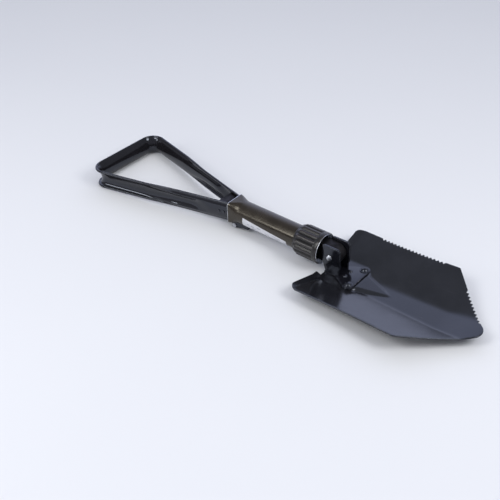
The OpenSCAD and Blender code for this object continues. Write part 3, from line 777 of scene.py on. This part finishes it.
def build_tube():
    """A drawn tube whose square mouth eases into the round, with the slot for the tongue."""
    count = 144
    half = MOUTH_W / 2

    def form(x, half_, corner, r):
        k = smooth(x, 0.0, MOUTH_L)
        return square_ring(lerp(half_, r, k), lerp(corner, r, k ** 0.8), count)

    rings = []
    outside = [0.0, 0.25, 0.6] + [1 + i * 0.8 for i in range(22)] + [20, 30, 45, 60, 80, 100]
    outside = [x for x in outside if x < FREE_L] + [FREE_L, TUBE_END - LIP_X - 0.4,
                                                    TUBE_END - LIP_X]
    for i, x in enumerate(outside):
        ease = 0.35 if i == 0 else (0.08 if i == 1 else 0.0)
        ease = 0.4 if i == len(outside) - 1 else ease
        rings.append((x, [(a * (1 - ease / half), b * (1 - ease / half))
                          for a, b in form(x, half, 4.5, TUBE_R)]))
    inside = list(reversed([x for x in outside if x > 0]))
    for i, x in enumerate(inside + [0.25, 0.0]):
        ease = 0.25 if x == 0.0 else 0.0
        rings.append((x, [(a * (1 + ease / half), b * (1 + ease / half))
                          for a, b in form(x, half - TUBE_WALL, 3.2, TUBE_R - TUBE_WALL)]))
    verts = [(LIP_X + x, y, z) for x, ring in rings for y, z in ring]
    faces = tube_faces(len(rings), count, closed_path=True)
    obj = mesh_object("shaft_tube_drawn", verts, faces, SHAFT, brown, angle=35)
    # the slot for the handle's tongue, cut up from below
    slot = plate([(LIP_X - 5, -8.6), (LIP_X + 21, -8.6), (LIP_X + 24, -5.6), (LIP_X + 24, 5.6),
                  (LIP_X + 21, 8.6), (LIP_X - 5, 8.6)], -30, -1.0, 0.2, 1)
    cutter = mesh_object("slot_cutter", slot[0], slot[1], SHAFT, brown)
    cut = obj.modifiers.new("slot", "BOOLEAN")
    cut.operation, cut.solver, cut.object = "DIFFERENCE", "EXACT", cutter
    graph = bpy.context.evaluated_depsgraph_get()
    mesh = bpy.data.meshes.new_from_object(obj.evaluated_get(graph))
    obj.modifiers.clear()
    obj.data = mesh
    bpy.data.objects.remove(cutter)
    # the faces within a millimetre of the mouth take the bright steel finish
    obj.data.materials.append(bright)
    to_shaft = SHAFT.inverted()
    for face in obj.data.polygons:
        if (to_shaft @ face.center).x < LIP_X + 1.0:
            face.material_index = len(obj.data.materials) - 1
    return finish_piece(obj, "shaft", "shaft_paint", "shaft_tube")


build_tube()


def build_label():
    """A paper strip stuck on askew, on the tube's near side."""
    nx, na = 60, 20
    verts, uvs, rim = [], [], []
    for layer, r in ((0, TUBE_R + 0.12), (1, TUBE_R - 0.05)):
        for i in range(nx + 1):
            u = i / nx
            top = lerp(LABEL_TOP, LABEL_TOP_END, u)
            for j in range(na + 1):
                v = j / na
                a = math.radians(top + LABEL_SPAN * v)
                x = lerp(LABEL_FROM, LABEL_TO, u) - 1.5 * v
                verts.append((x, r * math.cos(a), r * math.sin(a)))
                uvs.append((u, v))
                rim.append(1.0 if i in (0, nx) or j in (0, na) else 0.0)
    w = na + 1
    size = (nx + 1) * w
    faces = []
    for i in range(nx):
        for j in range(na):
            a = i * w + j
            faces.append((a, a + 1, a + w + 1, a + w))
            faces.append(tuple(size + k for k in (a + w, a + w + 1, a + 1, a)))
    loop = ([i * w for i in range(nx + 1)] + [nx * w + j for j in range(1, na + 1)]
            + [i * w + na for i in range(nx - 1, -1, -1)] + [j for j in range(na - 1, 0, -1)])
    for a, b in zip(loop, loop[1:] + loop[:1]):
        faces.append((a, b, size + b, size + a))
    obj = mesh_object("label_strip", verts, faces, SHAFT, paper, angle=40, values={"rim": rim})
    layer = obj.data.uv_layers.new(name="UVMap")
    for loop_ in obj.data.loops:
        layer.data[loop_.index].uv = uvs[loop_.vertex_index]
    return finish_piece(obj, "shaft", "label", "paper_label")


build_label()


# ------------------------------------------------------------------ collar
def build_collar():
    """The fluted shell: a taper at the tube end, ribs that fade in, and a plain end ring."""
    count = RIBS * 14
    x0, x1 = COLLAR_X, COLLAR_END - 0.7
    ring_pocket, nut_bore, nut_r, ring_r = COLLAR_END - 8.0, 16.6, 18.2, 20.25
    outer = [(x0, 17.5), (x0 + 0.15, 17.8), (x0 + 0.6, 18.2), (x0 + 1.1, 18.5), (x0 + 1.5, 18.7)]
    outer += [(x0 + 1.5 + 0.5 * i, lerp(18.7, 20.0, smooth(0.5 * i, 0, 5)))
              for i in range(1, 64)]
    outer = [p for p in outer if p[0] < x1 - 6.2]
    outer += [(x1 - 6.0, 20.2), (x1 - 5.6, 20.6), (x1 - 5.2, 20.9), (x1 - 4.6, 21.0),
              (x1 - 3, 21.0), (x1 - 1.2, 21.0), (x1 - 0.5, 20.93), (x1 - 0.15, 20.75), (x1, 20.5)]
    inner = [(x1, ring_r), (ring_pocket, ring_r), (ring_pocket, nut_r), (x0 + 6, nut_r),
             (x0 + 6, nut_bore), (x0 + 0.4, nut_bore), (x0, nut_bore + 0.4)]
    verts, painted_rib_highlight = [], []
    for i, (x, r) in enumerate(outer + inner):
        for k in range(count):
            a = 2 * math.pi * k / count
            if i < len(outer):
                wave = 0.5 + 0.5 * math.cos(RIBS * a)
                shape = wave ** 0.5
                ends = smooth(x, x0 + 1.5, x0 + 6.5) * (1 - smooth(x, x1 - 6.6, x1 - 5.0))
                rib = ends * (1.9 * shape - 0.9)
                rr = min(r + rib, COLLAR_R)
                # the painted highlight's mask: the rib tops, and the plain rim at the collar's end
                painted_rib_highlight.append(max(ends * smooth(shape, 0.75, 1.0),
                                 smooth(x, x1 - 1.6, x1 - 0.8)))
            else:
                rr = r
                painted_rib_highlight.append(0.0)
            verts.append((x, rr * math.cos(a), rr * math.sin(a)))
    faces = tube_faces(len(outer + inner), count, closed_path=True)
    obj = mesh_object("collar_ribbed", verts, faces, SHAFT, plastic, angle=45,
                      values={"painted_rib_highlight": painted_rib_highlight})
    return finish_piece(obj, "collar", "collar_plastic", "locking_collar")


build_collar()

# ------------------------------------------------------------------ carried-over CAD nodes
# the neck hinge and the hinge head get the darker steel: painted shade for their recess
for node, material in (
        ("hinge_saddle", black_small), ("hinge_head", painted_shade_steel), ("head_pins", dark),
        ("handle_pin", bright), ("handle_pin_washers", dark), ("neck_hinge", painted_shade_steel),
        ("neck_rivets", black_small), ("thrust_ring", bright), ("collar_nut", dark),
        ("backing_plate", black_small), ("blade_pin_washers", dark)):
    cad = frame["nodes"][node]
    for slot_index in range(max(1, len(cad.material_slots))):
        if cad.material_slots:
            cad.material_slots[slot_index].material = material
        else:
            cad.data.materials.append(material)

# ------------------------------------------------------------------ floor, light and camera
floor_mesh = bpy.data.meshes.new("floor")
floor_mesh.from_pydata([(-4, -4, 0), (4, -4, 0), (4, 4, 0), (-4, 4, 0)], [], [(0, 1, 2, 3)])
floor = bpy.data.objects.new("floor", floor_mesh)
scene.collection.objects.link(floor)
g = Graph("floor_paper")
floor_mesh.materials.append(g.finish({
    "Base Color": g.blend(g.noise(3, 2), rgb(0.745, 0.755, 0.775),
                          rgb(0.725, 0.735, 0.758)),
    "Roughness": 0.9, "Specular IOR Level": 0.2}))

world = bpy.data.worlds.new("studio")
scene.world = world
world.use_nodes = True
nodes, links = world.node_tree.nodes, world.node_tree.links
nodes.clear()


def wnode(kind, inputs=None, **props):
    node = nodes.new(kind)
    for key, value in props.items():
        setattr(node, key, value)
    for key, value in (inputs or {}).items():
        if isinstance(value, bpy.types.NodeSocket):
            links.new(value, node.inputs[key])
        else:
            node.inputs[key].default_value = value
    return node


# a dark room with one broad pale wall, dimmer again overhead
WALL_DARK, WALL_PALE = rgb(0.26, 0.265, 0.29), rgb(0.91, 0.98, 1.30)
OVERHEAD = rgb(0.34, 0.35, 0.38)
PALE_SIDE = (-0.64, 0.77, 0.0)
direction = wnode("ShaderNodeTexCoord").outputs["Generated"]
height = wnode("ShaderNodeSeparateXYZ", {"Vector": direction}).outputs["Z"]
level = wnode("ShaderNodeVectorMath", {0: direction, 1: (1.0, 1.0, 0.0)}, operation="MULTIPLY")
level = wnode("ShaderNodeVectorMath", {0: level.outputs[0]}, operation="NORMALIZE")
toward = wnode("ShaderNodeVectorMath", {0: level.outputs[0], 1: PALE_SIDE},
               operation="DOT_PRODUCT").outputs["Value"]
behind = wnode("ShaderNodeMapRange", {"Value": toward, "From Min": 0.30, "From Max": 0.80},
               interpolation_type="SMOOTHSTEP").outputs["Result"]
wall = wnode("ShaderNodeMix", {"Factor": behind, 6: WALL_DARK, 7: WALL_PALE},
             data_type="RGBA").outputs[2]
above = wnode("ShaderNodeMapRange", {"Value": height, "From Min": 0.60, "From Max": 0.84},
              interpolation_type="SMOOTHSTEP").outputs["Result"]
sky = wnode("ShaderNodeMix", {"Factor": above, 6: wall, 7: OVERHEAD},
            data_type="RGBA").outputs[2]
background = wnode("ShaderNodeBackground", {"Color": sky, "Strength": 1.0})
links.new(background.outputs[0], wnode("ShaderNodeOutputWorld").inputs["Surface"])


def area_light(name, place, size, power, glossy=True, colour=(1, 1, 1)):
    """A square lamp aimed at the shovel; glossy says whether the paint mirrors it."""
    data = bpy.data.lights.new(name, "AREA")
    data.shape, data.size, data.energy, data.color = "SQUARE", size, power, colour
    lamp = bpy.data.objects.new(name, data)
    scene.collection.objects.link(lamp)
    lamp.location = place
    lamp.rotation_euler = (Vector((0, 0, 0.02)) - Vector(place)).to_track_quat("-Z", "Y").to_euler()
    lamp.visible_glossy = glossy


area_light("key", (-0.15, 0.35, 1.9), 2.4, 2.2, glossy=False)
area_light("ceiling", (0.0, 0.0, 2.0), 9.0, 51, glossy=False, colour=(0.97, 0.975, 1.0))
area_light("softbox_right", (1.02, 0.18, 1.10), 0.6, 7.5)
area_light("softbox_left", (-0.36, -0.97, 1.10), 0.6, 7.5)
area_light("strip_low", (-0.72, -1.22, 0.62), 0.26, 1.6)

CAMERA_AZIMUTH, CAMERA_ELEVATION = math.radians(39.945), math.radians(38.292)
CAMERA_TARGET, CAMERA_DISTANCE, CAMERA_LENS = Vector((-0.017204, -0.035472, 0.0)), 1.07618, 59.22
camera = bpy.data.objects.new("camera", bpy.data.cameras.new("camera"))
scene.collection.objects.link(camera)
view_back = Vector((math.sin(CAMERA_AZIMUTH) * math.cos(CAMERA_ELEVATION),
                    -math.cos(CAMERA_AZIMUTH) * math.cos(CAMERA_ELEVATION),
                    math.sin(CAMERA_ELEVATION)))
camera.location = CAMERA_TARGET + CAMERA_DISTANCE * view_back
camera.rotation_euler = view_back.to_track_quat("Z", "Y").to_euler()
camera.data.sensor_width, camera.data.lens = 36.0, CAMERA_LENS
camera.data.clip_start, camera.data.clip_end = 0.01, 50
scene.camera = camera
scene.view_settings.view_transform = "Standard"
